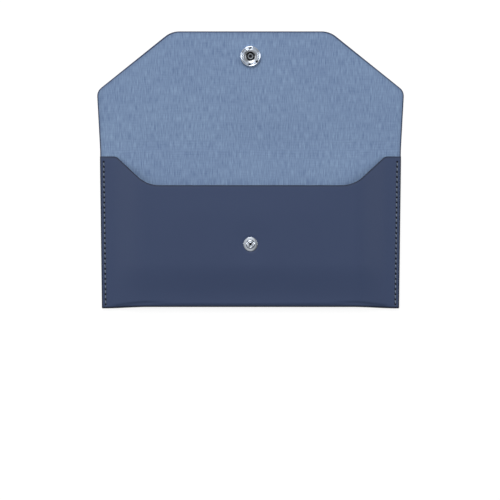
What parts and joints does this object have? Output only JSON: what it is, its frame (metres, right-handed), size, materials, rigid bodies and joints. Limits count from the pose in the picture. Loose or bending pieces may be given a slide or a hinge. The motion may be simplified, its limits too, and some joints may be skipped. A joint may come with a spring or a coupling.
{
  "type": "cash envelope wallet",
  "caption": "Long envelope wallet in lined PU leather, with a scooped front pocket, sewn side seams and a cut-corner flap that closes with a ring snap.",
  "frame": {"origin": "centre of the open wallet's footprint, on the table it lies on, which is a point of the back panel's outer face", "axes": "+X across the wallet to its right side, +Y from the bottom fold to the flap's tip, +Z out of the table, towards the front panel's face"},
  "size_m": [0.1746, 0.1578, 0.0088],
  "materials": {
    "outer_leather": "smooth navy PU leather, semi-matte",
    "lining": "steel blue lining with a fine woven grain",
    "seam_thread": "navy polyester sewing thread",
    "snap_metal": "bright chrome plating",
    "spring_steel": "bare spring wire"
  },
  "bodies": {
    "pocket": {"back_panel": "outer_leather", "back_lining": "lining", "bottom_fold": "outer_leather", "bottom_fold_lining": "lining", "front_panel": "outer_leather", "front_lining": "lining", "left_needle_thread": "seam_thread", "right_needle_thread": "seam_thread", "left_bobbin_thread": "seam_thread", "right_bobbin_thread": "seam_thread", "snap_stud": "snap_metal", "stud_rivet": "snap_metal"},
    "crease": {"crease_strip": "outer_leather", "crease_strip_lining": "lining"},
    "flap": {"flap_panel": "outer_leather", "flap_lining": "lining", "snap_cap": "snap_metal", "snap_socket": "snap_metal", "socket_spring": "spring_steel"}
  },
  "joints": [
    {"name": "crease_bend", "type": "hinge", "parent": "pocket", "child": "crease", "pos_m": [0, 0.008, 0.0012], "axis": [1, 0, 0], "range_deg": [0, 87.85]},
    {"name": "flap_fold", "type": "hinge", "parent": "crease", "child": "flap", "pos_m": [0, 0.0145, 0.0012], "axis": [1, 0, 0], "range_deg": [0, 87.85]}
  ],
  "couplings": [
    {"joint": "crease_bend", "follows": "flap_fold", "ratio": 1}
  ]
}
